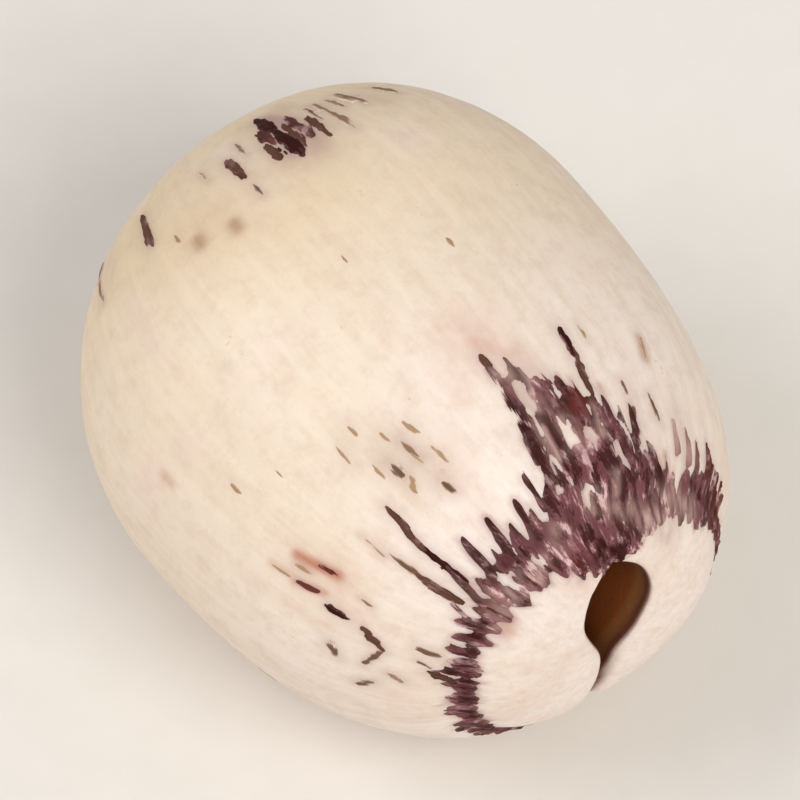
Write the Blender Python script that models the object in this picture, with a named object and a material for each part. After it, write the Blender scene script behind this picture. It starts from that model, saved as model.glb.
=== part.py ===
"""A dried lotus seed, peeled and cored: the pale kernel, and the rag of brown coat left round its tip.

The seed lies on its side with its tip at +X. Its latitude runs from 0 at the tip, through 90 degrees at
the widest ring, to 180 degrees at the base. Its longitude is 0 at the top and grows towards -Y.
"""

import bmesh
import bpy
import numpy as np

MM = 0.001

# The turned form: two half superellipses that meet at the widest ring
RADIUS = 5.96 * MM
TIP_REACH = 8.44 * MM
BASE_REACH = 5.83 * MM
TIP_FULLNESS = 2.51
BASE_FULLNESS = 2.08

# The seed is bent a little, both ends the same way
BEND = 0.29 * MM
BEND_LONGITUDE = np.radians(-70)

# The two seed leaves meet in a plane through the axis, near longitude 0 and 180 degrees
SEAM_LONGITUDE = np.radians(-6)
WAIST = 0.05 * MM
SEAM_DEPTH = 0.2 * MM
SEAM_WIDTH = 0.3 * MM
SEAM_ENDS_AT = 2.6 * MM
SWELLS = 0.02 * MM

# The tip: a ring groove round a blunt nipple with two lips
GROOVE_RADIUS = 3.45 * MM
GROOVE_DEPTH = 0.13 * MM
GROOVE_WIDTH = 0.42 * MM
LIP_RISE = 0.14 * MM
LIP_RADIUS = 2.1 * MM
LIP_WIDTH = 0.9 * MM

# The mouth between the lips: a drop with a slit below it, and the shares of its half length between which
# the slit widens to the drop
MOUTH_MIDDLE = 0.28 * MM
MOUTH_HALF_LENGTH = 1.95 * MM
MOUTH_HALF_WIDTH = 0.7 * MM
SLIT_HALF_WIDTH = 0.18 * MM
MOUTH_TAPER = (-0.6, 0.5)
LIP_ROUNDING = 0.2 * MM
NIPPLE_RING = 2.75 * MM

# The way through: the space that the green shoot filled, and the round hole it was pushed out by
CAVITY_HALF_HEIGHT = 1.75 * MM
CAVITY_HALF_WIDTH = 1.2 * MM
HOLE_RADIUS = 1.4 * MM
HOLE_ROUNDING = 0.12 * MM

# The flat spot that the seed lies on
FLAT_DEPTH = 0.13 * MM

# The coat: a skin with a small gap to the kernel under it
COAT_GAP = 0.05 * MM
COAT_THICKNESS = 0.2 * MM
COAT_EDGE = 0.07 * MM
COAT_INNER_RADIUS = 3.12 * MM
COAT_TONGUE = 0.62 * MM
COAT_TONGUE_LONGITUDE = np.radians(-6)
COAT_TONGUE_WIDTH = np.radians(22)
COLLAR_REACH = 7.47 * MM
TOOTH_SPACING = np.radians(5.6)
TOOTH_LENGTH = 0.6 * MM
TOOTH_SIDE = (np.radians(-100), np.radians(58))

# How far along the axis the coat's ragged edge lies, at each longitude in degrees
COAT_EDGE_LINE = (
    (-180, 7.35), (-140, 7.3), (-112, 7.1), (-96, 6.6), (-74, 6.6), (-53, 6.8), (-38, 6.65), (-28, 6.1),
    (-20, 5.55), (-13, 5.3), (-8, 4.7), (-2, 4.05), (1.5, 4.3), (5, 6.2), (10, 6.7), (18, 6.75),
    (30, 6.7), (42, 6.75), (52, 7.0), (62, 7.3), (100, 7.37), (140, 7.3), (180, 7.35),
)

# How finely the surfaces are cut
KERNEL_COLUMNS = 64
COAT_TOOTH_COLUMNS = 4
COAT_PLAIN_COLUMNS = 34


def clear_scene():
    for item in list(bpy.data.objects):
        bpy.data.objects.remove(item, do_unlink=True)


def smooth_step(start, end, value):
    share = np.clip((value - start) / (end - start), 0, 1)
    return share * share * (3 - 2 * share)


def profile(latitude):
    """How far along the axis and how far out from it the turned form lies."""
    cosine, sine = np.cos(latitude), np.sin(latitude)
    reach = np.where(cosine > 0, TIP_REACH, BASE_REACH)
    power = 2 / np.where(cosine > 0, TIP_FULLNESS, BASE_FULLNESS)
    along = np.sign(cosine) * reach * np.abs(cosine) ** power
    out = RADIUS * np.abs(sine) ** power
    return along, out


def profile_normal(latitude):
    along, out = profile(latitude)
    reach = np.where(along > 0, TIP_REACH, BASE_REACH)
    fullness = np.where(along > 0, TIP_FULLNESS, BASE_FULLNESS)
    slope_along = np.sign(along) * (np.abs(along) / reach) ** (fullness - 1) / reach
    slope_out = (out / RADIUS) ** (fullness - 1) / RADIUS
    length = np.hypot(slope_along, slope_out)
    return slope_along / length, slope_out / length


def latitude_at(along):
    """The latitude of the tip's side that lies this far along the axis."""
    return np.arccos((along / TIP_REACH) ** (TIP_FULLNESS / 2))


def latitude_out(out, fullness=TIP_FULLNESS):
    """The latitude of the tip's side that lies this far out from the axis."""
    return np.arcsin((out / RADIUS) ** (fullness / 2))


def relief(latitude, longitude):
    """How far the skin stands out of the turned form, and how far it sinks below it."""
    along, out = profile(latitude)
    at_tip = smooth_step(0, 0.5 * TIP_REACH, along)
    groove = np.exp(-(((out - GROOVE_RADIUS) / GROOVE_WIDTH) ** 2)) * at_tip
    across = np.sin(longitude - SEAM_LONGITUDE)
    seam = np.exp(-((out * across / SEAM_WIDTH) ** 2)) * smooth_step(SEAM_ENDS_AT, 0.9 * TIP_REACH, along)
    lips = np.exp(-(((out - LIP_RADIUS) / LIP_WIDTH) ** 2)) * across**2 * at_tip
    waist = np.cos(2 * longitude) * np.sin(latitude) ** 2
    swells = np.sin(3 * longitude + 1) * np.sin(2 * latitude) + np.sin(2 * longitude - 0.6) * np.sin(latitude)
    return (
        LIP_RISE * lips + SWELLS * swells - GROOVE_DEPTH * groove - SEAM_DEPTH * seam - WAIST * waist
    )


def placed(along, out, longitude):
    """A point given along and out from the axis, with the axis bent."""
    middle = (TIP_REACH - BASE_REACH) / 2
    half_length = (TIP_REACH + BASE_REACH) / 2
    bend = BEND * ((along - middle) / half_length) ** 2
    side = -out * np.sin(longitude) - bend * np.sin(BEND_LONGITUDE)
    up = out * np.cos(longitude) + bend * np.cos(BEND_LONGITUDE)
    return np.stack(np.broadcast_arrays(along, side, up), axis=-1)


def surface(latitude, longitude, lift=0.0, drop=0.0):
    """A point of the skin, lifted off it or dropped back along the axis."""
    along, out = profile(latitude)
    normal_along, normal_out = profile_normal(latitude)
    rise = relief(latitude, longitude) + lift
    return placed(along + normal_along * rise - drop, out + normal_out * rise, longitude)


def mouth_outline(turn):
    """The mouth's rim seen from the tip, drawn along the seam and across it, then turned to longitude 0."""
    cosine, sine = np.cos(turn), np.sin(turn)
    drop_shape = MOUTH_HALF_WIDTH * smooth_step(*MOUTH_TAPER, cosine) * np.sqrt(1 + cosine**2)
    up_seam = MOUTH_MIDDLE + MOUTH_HALF_LENGTH * cosine
    off_seam = sine * (SLIT_HALF_WIDTH + drop_shape)
    up = up_seam * np.cos(SEAM_LONGITUDE) - off_seam * np.sin(SEAM_LONGITUDE)
    across = up_seam * np.sin(SEAM_LONGITUDE) + off_seam * np.cos(SEAM_LONGITUDE)
    return up, across


def oval(turn, half_height, half_width, middle=0.0):
    return middle + half_height * np.cos(turn), half_width * np.sin(turn)


def mixed(first, second, share):
    return [a + (b - a) * share for a, b in zip(first, second)]


def nipple_rings(turns):
    """The rings from the mouth's rim out to the nipple's last round ring."""
    rim = mouth_outline(turns)
    ring = oval(turns, NIPPLE_RING, NIPPLE_RING)
    width = np.hypot(ring[0] - rim[0], ring[1] - rim[1])
    rings = []
    for share in (0, 0.05, 0.12, 0.22, 0.38, 0.58, 0.8, 1):
        up, across = mixed(rim, ring, share)
        short = np.clip(1 - share * width / LIP_ROUNDING, 0, 1)
        drop = LIP_ROUNDING * (1 - np.sqrt(1 - short**2))
        out = np.hypot(up, across)
        rings.append(surface(latitude_out(out), np.arctan2(across, up), drop=drop))
    return rings


def side_rings(turns):
    """The rings over the groove, the shoulder and the body, down to the round hole in the base."""
    groove_end = latitude_out(GROOVE_RADIUS + 2.4 * GROOVE_WIDTH)
    hole_edge = np.pi - latitude_out(HOLE_RADIUS + HOLE_ROUNDING, BASE_FULLNESS)
    latitudes = np.concatenate([
        np.linspace(latitude_out(NIPPLE_RING), groove_end, 12)[1:],
        np.linspace(groove_end, np.pi / 2, 14)[1:],
        np.linspace(np.pi / 2, hole_edge, 15)[1:],
    ])
    return [surface(latitude, turns) for latitude in latitudes]


def bore_rings(turns, mouth_ring, hole_ring):
    """The rings of the way through, from the base's hole back to the mouth."""
    mouth = mouth_outline(turns)
    cavity = oval(turns, CAVITY_HALF_HEIGHT, CAVITY_HALF_WIDTH, MOUTH_MIDDLE * 0.4)
    hole = oval(turns, HOLE_RADIUS, HOLE_RADIUS)
    start = hole_ring[:, 0] + HOLE_ROUNDING
    end = mouth_ring[:, 0]
    rings = []
    for share in (0, 0.1, 0.24, 0.38, 0.5, 0.62, 0.74, 0.84, 0.91, 0.96):
        up, across = mixed(hole, cavity, smooth_step(0.2, 0.62, share))
        up, across = mixed((up, across), mouth, smooth_step(0.66, 1, share))
        along = start + (end - start) * share
        rings.append(placed(along, np.hypot(up, across), np.arctan2(across, up)))
    return rings


def rings_to_mesh(name, rings):
    """A closed tube of rings, the last joined to the first, with its faces pointing out."""
    work = bmesh.new()
    loops = [[work.verts.new(point) for point in ring] for ring in rings]
    for loop, following in zip(loops, loops[1:] + loops[:1]):
        for column in range(len(loop)):
            after = (column + 1) % len(loop)
            work.faces.new((loop[column], loop[after], following[after], following[column]))
    bmesh.ops.recalc_face_normals(work, faces=work.faces)
    if work.calc_volume(signed=True) < 0:
        bmesh.ops.reverse_faces(work, faces=work.faces)
    mesh = bpy.data.meshes.new(name)
    work.to_mesh(mesh)
    work.free()
    return mesh


def make_kernel_rings():
    turns = np.linspace(0, 2 * np.pi, KERNEL_COLUMNS, endpoint=False)
    nipple = nipple_rings(turns)
    sides = side_rings(turns)
    rings = nipple + sides + bore_rings(turns, nipple[0], sides[-1])
    points = np.array(rings)
    lowest = points[..., 2].min()
    points[..., 2] = np.maximum(points[..., 2], lowest + FLAT_DEPTH)
    return points


def coat_columns():
    """The longitudes of the coat's columns: several to a tooth, fewer where its edge is plain."""
    start, end = TOOTH_SIDE
    teeth = round((end - start) / TOOTH_SPACING)
    toothed = np.linspace(start, end, teeth * COAT_TOOTH_COLUMNS + 1)
    plain = np.linspace(end, start + 2 * np.pi, COAT_PLAIN_COLUMNS + 1)[1:-1]
    return np.concatenate([toothed, plain])


def coat_inner_edge(longitudes):
    """The latitude of the edge round the nipple, with a tongue that reaches in to the mouth."""
    turned = (longitudes + np.pi) % (2 * np.pi) - np.pi
    tongue = np.exp(-(((turned - COAT_TONGUE_LONGITUDE) / COAT_TONGUE_WIDTH) ** 2))
    return latitude_out(COAT_INNER_RADIUS - COAT_TONGUE * tongue)


def coat_edge(longitudes):
    """The latitude of the coat's ragged edge: the edge line, with teeth along the meridians."""
    turned = np.degrees((longitudes + np.pi) % (2 * np.pi) - np.pi)
    stops, reaches = np.array(COAT_EDGE_LINE).T
    line = np.interp(turned, stops, reaches) * MM
    start, end = TOOTH_SIDE
    sawtooth = np.abs(((longitudes - start) / TOOTH_SPACING) % 1 - 0.5) * 2
    size = 0.6 + 0.4 * np.sin(longitudes * 17)
    inside = smooth_step(start, start + 0.3, longitudes) * smooth_step(end, end - 0.25, longitudes)
    return latitude_at(line - TOOTH_LENGTH * size * inside * (sawtooth - 0.5))


def make_coat_rings():
    longitudes = coat_columns()
    inner = coat_inner_edge(longitudes)
    collar = latitude_at(COLLAR_REACH)
    edge = np.maximum(coat_edge(longitudes), collar + 0.02)
    over_groove = [inner + (collar - inner) * share for share in (0, 0.25, 0.5, 0.75)]
    over_side = [collar + (edge - collar) * share for share in (0, 0.25, 0.5, 0.75, 1)]
    rows = over_groove + over_side
    thickness = [COAT_EDGE, *[COAT_THICKNESS] * (len(rows) - 2), COAT_EDGE]
    outer = [surface(row, longitudes, COAT_GAP + thick) for row, thick in zip(rows, thickness)]
    under = [surface(row, longitudes, COAT_GAP) for row in rows]
    return np.array(outer + under[::-1])


def linear(channel):
    return channel / 12.92 if channel <= 0.04045 else ((channel + 0.055) / 1.055) ** 2.4


def make_material(name, hex_colour, roughness):
    material = bpy.data.materials.new(name)
    material.use_nodes = True
    shader = material.node_tree.nodes["Principled BSDF"]
    channels = [int(hex_colour[i:i + 2], 16) / 255 for i in (1, 3, 5)]
    shader.inputs["Base Color"].default_value = (*map(linear, channels), 1)
    shader.inputs["Roughness"].default_value = roughness
    shader.inputs["Metallic"].default_value = 0.0
    return material


def add_object(name, rings, material):
    mesh = rings_to_mesh(name, rings)
    mesh.materials.append(material)
    mesh.shade_smooth()
    mesh.set_sharp_from_angle(angle=np.radians(50))
    item = bpy.data.objects.new(name, mesh)
    bpy.context.scene.collection.objects.link(item)
    return item


def main():
    clear_scene()
    kernel = make_kernel_rings()
    coat = make_coat_rings()
    points = np.concatenate([kernel.reshape(-1, 3), coat.reshape(-1, 3)])
    low, high = points.min(axis=0), points.max(axis=0)
    bottom_centre = np.array([(low[0] + high[0]) / 2, (low[1] + high[1]) / 2, low[2]])
    add_object("kernel", kernel - bottom_centre, make_material("kernel", "#f0dfc8", 0.5))
    add_object("seed_coat", coat - bottom_centre, make_material("seed_coat", "#6b4547", 0.6))


main()
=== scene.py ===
# %% [markdown]
# A dried lotus seed
#
# This lesson dresses one peeled and cored lotus seed. On the real thing there are only two materials: the
# pale, starchy flesh of the two seed leaves, and the rag of purple-brown coat that peeling leaves round the
# tip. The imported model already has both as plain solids. Each step below makes the fine surface of one of
# them from the same measures, and then gives it a finish made of nodes.

import bpy
import numpy as np
from mathutils import Matrix, Vector


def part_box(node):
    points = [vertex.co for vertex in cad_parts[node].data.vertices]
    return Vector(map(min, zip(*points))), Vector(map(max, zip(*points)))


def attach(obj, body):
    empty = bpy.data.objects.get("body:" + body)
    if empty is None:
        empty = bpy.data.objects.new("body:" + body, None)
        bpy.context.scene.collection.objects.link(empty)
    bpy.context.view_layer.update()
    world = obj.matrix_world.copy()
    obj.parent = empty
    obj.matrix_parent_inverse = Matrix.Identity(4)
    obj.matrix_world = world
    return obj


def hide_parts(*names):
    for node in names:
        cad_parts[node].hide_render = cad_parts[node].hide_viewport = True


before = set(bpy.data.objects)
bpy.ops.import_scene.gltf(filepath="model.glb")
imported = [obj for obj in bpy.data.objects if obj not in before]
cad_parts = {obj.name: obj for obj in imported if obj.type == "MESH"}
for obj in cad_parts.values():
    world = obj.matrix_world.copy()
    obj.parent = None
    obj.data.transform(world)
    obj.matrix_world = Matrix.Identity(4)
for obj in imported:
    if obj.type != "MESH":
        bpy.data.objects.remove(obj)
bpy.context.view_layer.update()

# %% [markdown]
# The measures of the seed
#
# A lotus seed is almost a body of revolution: an egg with a blunt tip. A superellipse describes each half
# with two numbers, its reach and its fullness, so the outline needs no table of points. The values are
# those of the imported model, in metres. Latitude runs from 0 at the tip to 180 degrees at the base.
# Longitude is 0 at the top.

# %% Name the measures
MM = 0.001
RADIUS = 5.96 * MM
TIP_REACH = 8.44 * MM
BASE_REACH = 5.83 * MM
TIP_FULLNESS = 2.51
BASE_FULLNESS = 2.08
BEND = 0.29 * MM
BEND_LONGITUDE = np.radians(-70)
SEAM_LONGITUDE = np.radians(-6)
WAIST = 0.05 * MM
SEAM_DEPTH = 0.2 * MM
SEAM_WIDTH = 0.3 * MM
SEAM_ENDS_AT = 2.6 * MM
SWELLS = 0.02 * MM
GROOVE_RADIUS = 3.45 * MM
GROOVE_DEPTH = 0.13 * MM
GROOVE_WIDTH = 0.42 * MM
LIP_RISE = 0.14 * MM
LIP_RADIUS = 2.1 * MM
LIP_WIDTH = 0.9 * MM
MOUTH_MIDDLE = 0.28 * MM
MOUTH_HALF_LENGTH = 1.95 * MM
MOUTH_HALF_WIDTH = 0.7 * MM
SLIT_HALF_WIDTH = 0.18 * MM
MOUTH_TAPER = (-0.6, 0.5)
LIP_ROUNDING = 0.2 * MM
NIPPLE_RING = 2.75 * MM
CAVITY_HALF_HEIGHT = 1.75 * MM
CAVITY_HALF_WIDTH = 1.2 * MM
HOLE_RADIUS = 1.4 * MM
HOLE_ROUNDING = 0.12 * MM
FLAT_DEPTH = 0.13 * MM
print("length without the hollow tip:", round((TIP_REACH + BASE_REACH) / MM, 2), "mm")


# %% Turn the outline
def smooth_step(start, end, value):
    share = np.clip((value - start) / (end - start), 0, 1)
    return share * share * (3 - 2 * share)


def half_at(along):
    """The reach and the fullness of the half that a point is in."""
    at_tip = along > 0
    return np.where(at_tip, TIP_REACH, BASE_REACH), np.where(at_tip, TIP_FULLNESS, BASE_FULLNESS)


def profile(latitude):
    cosine, sine = np.cos(latitude), np.sin(latitude)
    reach, fullness = half_at(cosine)
    power = 2 / fullness
    return np.sign(cosine) * reach * np.abs(cosine) ** power, RADIUS * np.abs(sine) ** power


def profile_normal(latitude):
    along, out = profile(latitude)
    reach, fullness = half_at(along)
    slope_along = np.sign(along) * (np.abs(along) / reach) ** (fullness - 1) / reach
    slope_out = (out / RADIUS) ** (fullness - 1) / RADIUS
    length = np.hypot(slope_along, slope_out)
    return slope_along / length, slope_out / length


def latitude_at(along):
    return np.arccos((along / TIP_REACH) ** (TIP_FULLNESS / 2))


def latitude_out(out, fullness=TIP_FULLNESS):
    return np.arcsin((out / RADIUS) ** (fullness / 2))


print("the groove lies at latitude", round(float(np.degrees(latitude_out(GROOVE_RADIUS))), 1), "degrees")

# %% [markdown]
# The grain of the seed
#
# Everything on a seed runs from base to tip: the fine ridges that the coat pressed into the flesh, the
# furrows of the coat, the way it tears. So patterns are not laid in plain space but in the seed's own
# grain: around it, and along its meridians. Sums of cosines in a few random directions give a smooth,
# seeded noise that closes up behind the seed, because the around part is a circle.

# %% Measure along the meridians
MERIDIAN = np.linspace(0.001, np.pi - 0.001, 2000)
MERIDIAN_STEPS = np.hypot(*np.diff(profile(MERIDIAN), axis=1))
MERIDIAN_LENGTH = np.concatenate([[0], np.cumsum(MERIDIAN_STEPS)])


def down_meridian(latitude):
    return np.interp(latitude, MERIDIAN, MERIDIAN_LENGTH) / MM


def grain_of(latitude, longitude):
    """Where a point lies in the seed's grain, in millimetres: around it (two numbers) and along it."""
    along_grain = down_meridian(latitude)
    radius = RADIUS / MM * (0.3 + 0.7 * smooth_step(0, 3.2 * MM, profile(latitude)[1]))
    return np.stack(np.broadcast_arrays(
        radius * np.cos(longitude), radius * np.sin(longitude), along_grain), axis=-1)


def ripples(points, wavelengths, count, seed):
    """Smooth seeded noise, about -1 to 1, from waves of these lengths around and along the grain, in mm."""
    draw = np.random.default_rng(seed)
    directions = draw.normal(size=(count, 3))
    directions /= np.linalg.norm(directions, axis=1, keepdims=True)
    phases = draw.uniform(0, 2 * np.pi, count)
    around, along = wavelengths
    waves = directions * 2 * np.pi / np.array([around, around, along])
    total = np.zeros(points.shape[:-1])
    for wave, phase in zip(waves, phases):
        total += np.cos(points @ wave + phase)
    return total / np.sqrt(count)


print("a meridian is", round(MERIDIAN_LENGTH[-1] / MM, 1), "mm long")

# %% [markdown]
# The skin of the flesh
#
# The relief has two scales. The large one is what the imported solid has: the groove round the nipple, the
# seam between the seed leaves, the two lips, a slight waist. The fine one is only in this mesh: shallow
# ridges along the grain and soft dents from drying. It only sinks, so that the seed stays inside the imported
# solid's size.


# %% Raise the relief
def relief(latitude, longitude):
    along, out = profile(latitude)
    at_tip = smooth_step(0, 0.5 * TIP_REACH, along)
    groove = np.exp(-(((out - GROOVE_RADIUS) / GROOVE_WIDTH) ** 2)) * at_tip
    across = np.sin(longitude - SEAM_LONGITUDE)
    seam = np.exp(-((out * across / SEAM_WIDTH) ** 2)) * smooth_step(SEAM_ENDS_AT, 0.9 * TIP_REACH, along)
    lips = np.exp(-(((out - LIP_RADIUS) / LIP_WIDTH) ** 2)) * across**2 * at_tip
    waist = np.cos(2 * longitude) * np.sin(latitude) ** 2
    swells = np.sin(3 * longitude + 1) * np.sin(2 * latitude) + np.sin(2 * longitude - 0.6) * np.sin(latitude)
    return (
        LIP_RISE * lips + SWELLS * swells - GROOVE_DEPTH * groove - SEAM_DEPTH * seam - WAIST * waist
    )


RIDGE_DEPTH = 0.009 * MM
DENT_DEPTH = 0.022 * MM
PORE_DEPTH = 0.007 * MM


def fine_relief(latitude, longitude):
    points = grain_of(latitude, longitude)
    ridges = ripples(points, (0.9, 6.0), 14, seed=4)
    dents = ripples(points, (4.2, 5.5), 10, seed=9)
    pores = ripples(points, (0.75, 0.9), 18, seed=6)
    calm = np.sin(latitude) ** 2
    return -calm * (RIDGE_DEPTH * (1 + 0.5 * ridges) + DENT_DEPTH * (1 + 0.5 * dents)) - PORE_DEPTH * (
        1 + 0.5 * pores)


def placed(along, out, longitude):
    middle = (TIP_REACH - BASE_REACH) / 2
    half_length = (TIP_REACH + BASE_REACH) / 2
    bend = BEND * ((along - middle) / half_length) ** 2
    side = -out * np.sin(longitude) - bend * np.sin(BEND_LONGITUDE)
    up = out * np.cos(longitude) + bend * np.cos(BEND_LONGITUDE)
    return np.stack(np.broadcast_arrays(along, side, up), axis=-1)


def surface(latitude, longitude, lift=0.0, drop=0.0):
    along, out = profile(latitude)
    normal_along, normal_out = profile_normal(latitude)
    rise = relief(latitude, longitude) + fine_relief(latitude, longitude) + lift
    return placed(along + normal_along * rise - drop, out + normal_out * rise, longitude)


tip_point = surface(np.array(latitude_out(NIPPLE_RING)), np.array(0.0))
print("the nipple's top edge is", [round(v / MM, 2) for v in tip_point], "mm from the widest ring's middle")

# %% [markdown]
# The mouth and the way through
#
# The green shoot has been pushed out, which leaves a hollow from end to end: a drop-shaped mouth with a
# slit between the lips, a wider oval hollow, and a round drilled hole in the base. One grid of rings can
# hold the whole surface: out from the mouth's rim, over the body, in at the base and back along the hollow.
# A grid like that closes on itself, so the mesh has no seam to mend and no stray faces.


# %% Shape the mouth
def mouth_outline(turn):
    cosine, sine = np.cos(turn), np.sin(turn)
    drop_shape = MOUTH_HALF_WIDTH * smooth_step(*MOUTH_TAPER, cosine) * np.sqrt(1 + cosine**2)
    up_seam = MOUTH_MIDDLE + MOUTH_HALF_LENGTH * cosine
    off_seam = sine * (SLIT_HALF_WIDTH + drop_shape)
    up = up_seam * np.cos(SEAM_LONGITUDE) - off_seam * np.sin(SEAM_LONGITUDE)
    across = up_seam * np.sin(SEAM_LONGITUDE) + off_seam * np.cos(SEAM_LONGITUDE)
    return up, across


def rounding_drop(from_rim):
    """How far the rounded lip falls away, by the distance from the mouth's rim."""
    short = np.clip(1 - from_rim / LIP_ROUNDING, 0, 1)
    return LIP_ROUNDING * (1 - np.sqrt(1 - short**2))


def from_mouth(latitude, longitude):
    """How far each point of the tip lies from the mouth's rim; 1 m where it is out on the body."""
    along, out = profile(latitude)
    rim_up, rim_across = mouth_outline(np.linspace(0, 2 * np.pi, 1200))
    distance = np.full(np.shape(out), 1.0)
    close = (out < NIPPLE_RING) & (along > 0)
    up, across = (out * np.cos(longitude))[close], (out * np.sin(longitude))[close]
    distance[close] = np.hypot(up[:, None] - rim_up, across[:, None] - rim_across).min(axis=1)
    return distance


def oval(turn, half_height, half_width, middle=0.0):
    return middle + half_height * np.cos(turn), half_width * np.sin(turn)


def mixed(first, second, share):
    return [a + (b - a) * share for a, b in zip(first, second)]


print("the mouth is", round(2 * MOUTH_HALF_LENGTH / MM, 2), "mm from top to slit's end")


# %% Lay the rings of the flesh
COLUMNS = 320
TURNS = np.linspace(0, 2 * np.pi, COLUMNS, endpoint=False)


def nipple_rings():
    rim = mouth_outline(TURNS)
    ring = oval(TURNS, NIPPLE_RING, NIPPLE_RING)
    width = np.hypot(ring[0] - rim[0], ring[1] - rim[1])
    rings = []
    for share in np.linspace(0, 1, 30) ** 1.6:
        up, across = mixed(rim, ring, share)
        latitude = latitude_out(np.hypot(up, across))
        longitude = np.arctan2(across, up)
        rings.append((surface(latitude, longitude, drop=rounding_drop(share * width)), latitude, longitude))
    return rings


def side_rings():
    groove_end = latitude_out(GROOVE_RADIUS + 2.4 * GROOVE_WIDTH)
    hole_edge = np.pi - latitude_out(HOLE_RADIUS + HOLE_ROUNDING, BASE_FULLNESS)
    latitudes = np.concatenate([
        np.linspace(latitude_out(NIPPLE_RING), groove_end, 50)[1:],
        np.linspace(groove_end, np.pi / 2, 90)[1:],
        np.linspace(np.pi / 2, hole_edge, 90)[1:],
    ])
    return [(surface(row, TURNS), np.full(COLUMNS, row), TURNS) for row in latitudes]


def bore_rings(mouth_ring, hole_ring):
    mouth = mouth_outline(TURNS)
    cavity = oval(TURNS, CAVITY_HALF_HEIGHT, CAVITY_HALF_WIDTH, MOUTH_MIDDLE * 0.4)
    hole = oval(TURNS, HOLE_RADIUS, HOLE_RADIUS)
    start = hole_ring[:, 0] + HOLE_ROUNDING
    end = mouth_ring[:, 0]
    rings = []
    for share in np.linspace(0, 1, 34, endpoint=False):
        up, across = mixed(hole, cavity, smooth_step(0.2, 0.62, share))
        up, across = mixed((up, across), mouth, smooth_step(0.66, 1, share))
        along = start + (end - start) * share
        ring = placed(along, np.hypot(up, across), np.arctan2(across, up))
        rings.append((ring, np.full(COLUMNS, np.pi * (1 - share)), TURNS))
    return rings


nipple = nipple_rings()
sides = side_rings()
bore = bore_rings(nipple[0][0], sides[-1][0])
flesh_points, flesh_latitude, flesh_longitude = (np.array(part) for part in zip(*nipple, *sides, *bore))
inside = np.zeros(flesh_latitude.shape)
inside[len(nipple) + len(sides):] = 1
print(len(flesh_points), "rings of", COLUMNS, "points make the flesh")

# %% [markdown]
# Setting the seed down
#
# The seed lies on a flat spot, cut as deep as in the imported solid. Then the whole fine surface moves from
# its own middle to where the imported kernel's box is. The same step places the coat later.

# %% Flatten the spot and find the shift
floor_level = flesh_points[..., 2].min() + FLAT_DEPTH
flesh_points[..., 2] = np.maximum(flesh_points[..., 2], floor_level)
kernel_low, kernel_high = (np.array(corner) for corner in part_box("kernel"))
own_low, own_high = flesh_points.min(axis=(0, 1)), flesh_points.max(axis=(0, 1))
SHIFT = (kernel_low + kernel_high - own_low - own_high) / 2
SHIFT[2] = kernel_low[2] - own_low[2]
print("the surface moves by", [round(v / MM, 3) for v in SHIFT], "mm")

# %% [markdown]
# From rings to a mesh
#
# Rings of points become quads between neighbours. Each point also keeps a few numbers as mesh attributes,
# such as where it lies in the grain, so that the finish can follow the seed and not the room.


# %% Build meshes from rings
def ring_faces(rows, columns, close_rows):
    row, column = np.meshgrid(np.arange(rows if close_rows else rows - 1), np.arange(columns), indexing="ij")
    below, after = (row + 1) % rows, (column + 1) % columns
    here, lower = row * columns, below * columns
    corners = [here + column, lower + column, lower + after, here + after]
    return np.stack(corners, axis=-1).reshape(-1, 4)


def linked(name, data):
    """An object that holds this data, put in the scene."""
    item = bpy.data.objects.new(name, data)
    bpy.context.scene.collection.objects.link(item)
    return item


def mesh_object(name, points, faces, attributes, material):
    mesh = bpy.data.meshes.new(name)
    mesh.from_pydata(points.reshape(-1, 3) + SHIFT, [], [list(map(int, face)) for face in faces])
    for key, values in attributes.items():
        is_vector = values.shape == points.shape
        layer = mesh.attributes.new(key, "FLOAT_VECTOR" if is_vector else "FLOAT", "POINT")
        layer.data.foreach_set("vector" if is_vector else "value", values.astype(np.float32).ravel())
    mesh.materials.append(material)
    mesh.shade_smooth()
    print(name, "has", len(faces), "faces")
    return linked(name, mesh)


# %% [markdown]
# Helpers for finishes
#
# Colours are written as the hex values that a colour picker gives, and one function turns them to the
# linear values that a shader works in. Another starts a finish, one adds a node to it, with its settings and
# what goes into it, and the last lays one colour over another.


# %% Add colours and nodes
def colour(hex_value):
    channels = [int(hex_value[i:i + 2], 16) / 255 for i in (1, 3, 5)]
    return (*[c / 12.92 if c <= 0.04045 else ((c + 0.055) / 1.055) ** 2.4 for c in channels], 1)


def new_finish(name):
    material = bpy.data.materials.new(name)
    material.use_nodes = True
    return material, material.node_tree, material.node_tree.nodes["Principled BSDF"]


def add(tree, kind, inputs=None, **settings):
    item = tree.nodes.new("ShaderNode" + kind)
    for name, value in settings.items():
        setattr(item, name, value)
    for name, value in (inputs or {}).items():
        if isinstance(value, bpy.types.NodeSocket):
            tree.links.new(value, item.inputs[name])
        else:
            item.inputs[name].default_value = value
    return item


FACTOR, FIRST_COLOUR, SECOND_COLOUR, MIXED_COLOUR = 0, 6, 7, 2
SMOOTH = {"interpolation_type": "SMOOTHSTEP"}


def tinted(tree, share, first, second):
    """The first colour, mixed by a share with the second; each is a hex value or a node's output."""
    first, second = (colour(part) if isinstance(part, str) else part for part in (first, second))
    inputs = {FACTOR: share, FIRST_COLOUR: first, SECOND_COLOUR: second}
    return add(tree, "Mix", inputs, data_type="RGBA").outputs[MIXED_COLOUR]


print("cream in linear values:", [round(c, 3) for c in colour("#f4e2cc")])

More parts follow.
